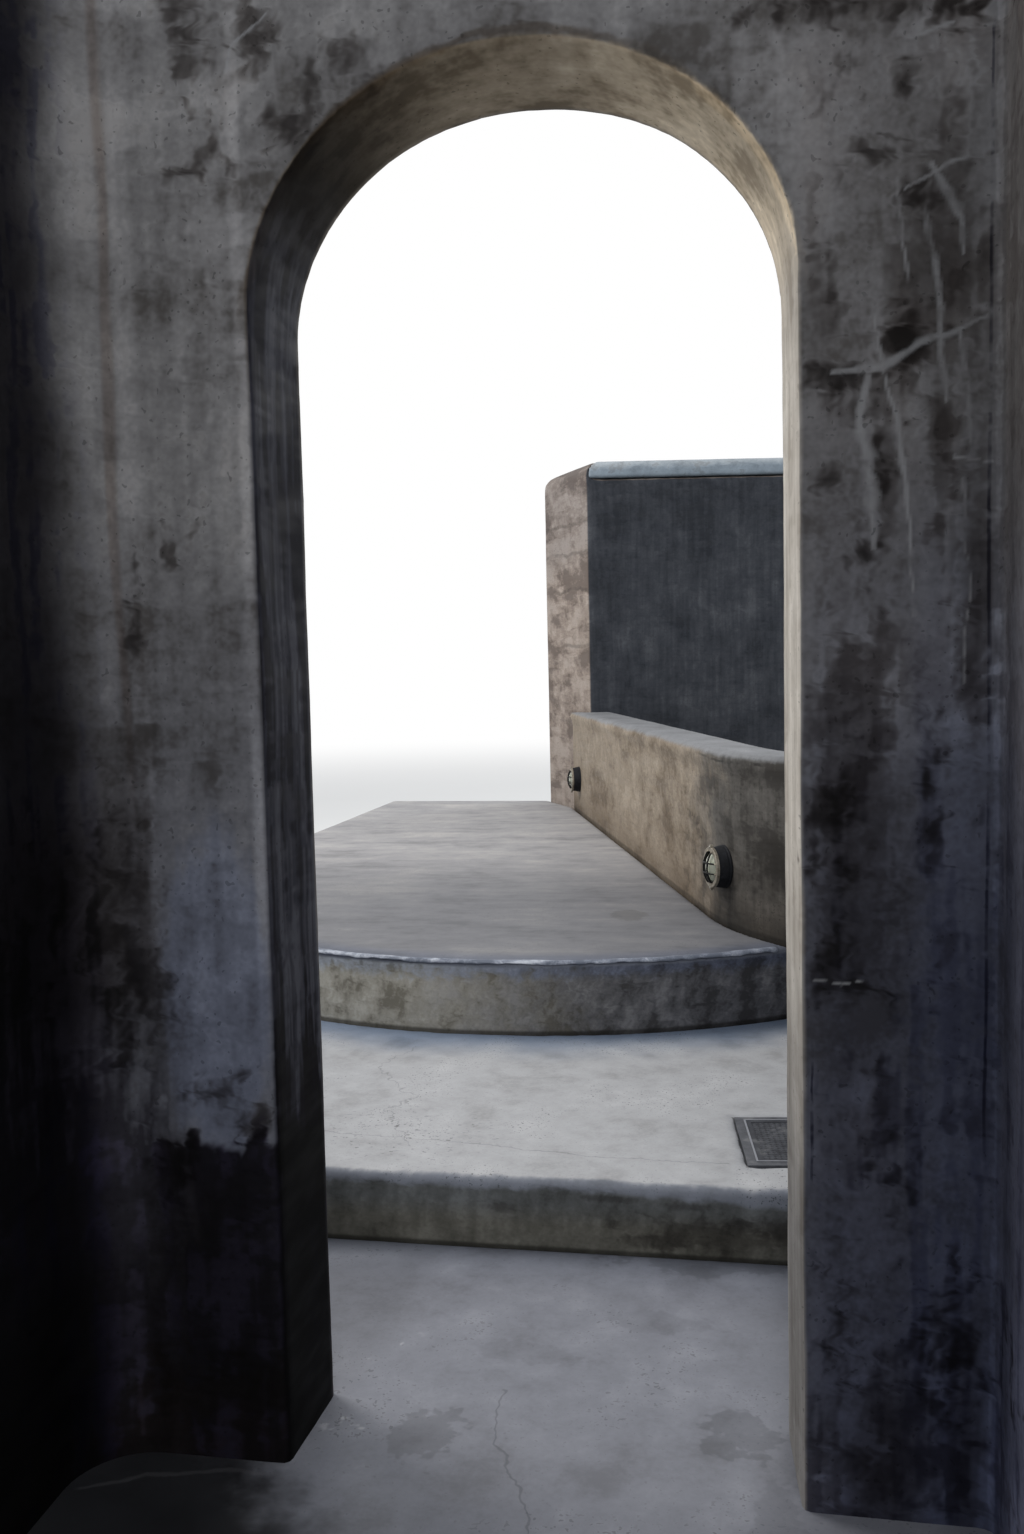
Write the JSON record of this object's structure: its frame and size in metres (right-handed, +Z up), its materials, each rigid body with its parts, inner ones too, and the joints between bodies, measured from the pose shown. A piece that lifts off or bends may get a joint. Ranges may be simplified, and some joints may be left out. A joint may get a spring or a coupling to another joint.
{
  "type": "arched garden gateway",
  "caption": "Round-headed gateway through a thick plastered wall, with return walls, curved garden steps, a terrace, a low planter wall and caged wall lamps.",
  "frame": {"origin": "on the ground, below the middle of the opening's front edge", "axes": "+X to the right seen from the front, +Y through the gate and away, +Z up"},
  "size_m": [3.276, 8.0854, 2.74],
  "materials": {
    "gate_plaster": "hand-trowelled cement plaster, dark grey, mottled and damp at the foot",
    "coping_plaster": "smooth cement render, pale blue-grey",
    "passage_screed": "smooth cement screed, mid grey",
    "step_plaster": "rough cement render, grey-brown, damp stained",
    "step_screed": "trowelled cement screed, light grey with hairline cracks",
    "terrace_screed": "trowelled cement screed, light warm grey",
    "planter_plaster": "cement plaster, warm beige-brown, streaked",
    "cap_plaster": "smooth cement cap, light grey",
    "tall_plaster": "cement plaster, pinkish brown-grey, streaked",
    "drain_iron": "cast iron, dark grey",
    "lamp_housing": "black paint, weathered",
    "lamp_guard": "bronze-grey paint, worn",
    "lamp_glass": "pressed prismatic glass"
  },
  "bodies": {
    "root": {"arch_head_wall": "gate_plaster", "drain_cover": "drain_iron", "drain_frame": "drain_iron", "gate_coping": "coping_plaster", "lamp_far_glass": "lamp_glass", "lamp_far_guard": "lamp_guard", "lamp_far_housing": "lamp_housing", "lamp_near_glass": "lamp_glass", "lamp_near_guard": "lamp_guard", "lamp_near_housing": "lamp_housing", "left_jamb_wall": "gate_plaster", "left_return_coping": "coping_plaster", "left_return_wall": "gate_plaster", "lower_step_base": "step_plaster", "lower_step_tread": "step_screed", "passage_floor": "passage_screed", "planter_cap": "cap_plaster", "planter_wall": "planter_plaster", "right_jamb_wall": "gate_plaster", "right_return_coping": "coping_plaster", "right_return_wall": "gate_plaster", "tall_coping_front": "coping_plaster", "tall_coping_side": "coping_plaster", "tall_wall_front": "tall_plaster", "tall_wall_side": "tall_plaster", "terrace_base": "step_plaster", "terrace_screed": "terrace_screed"}
  },
  "joints": []
}
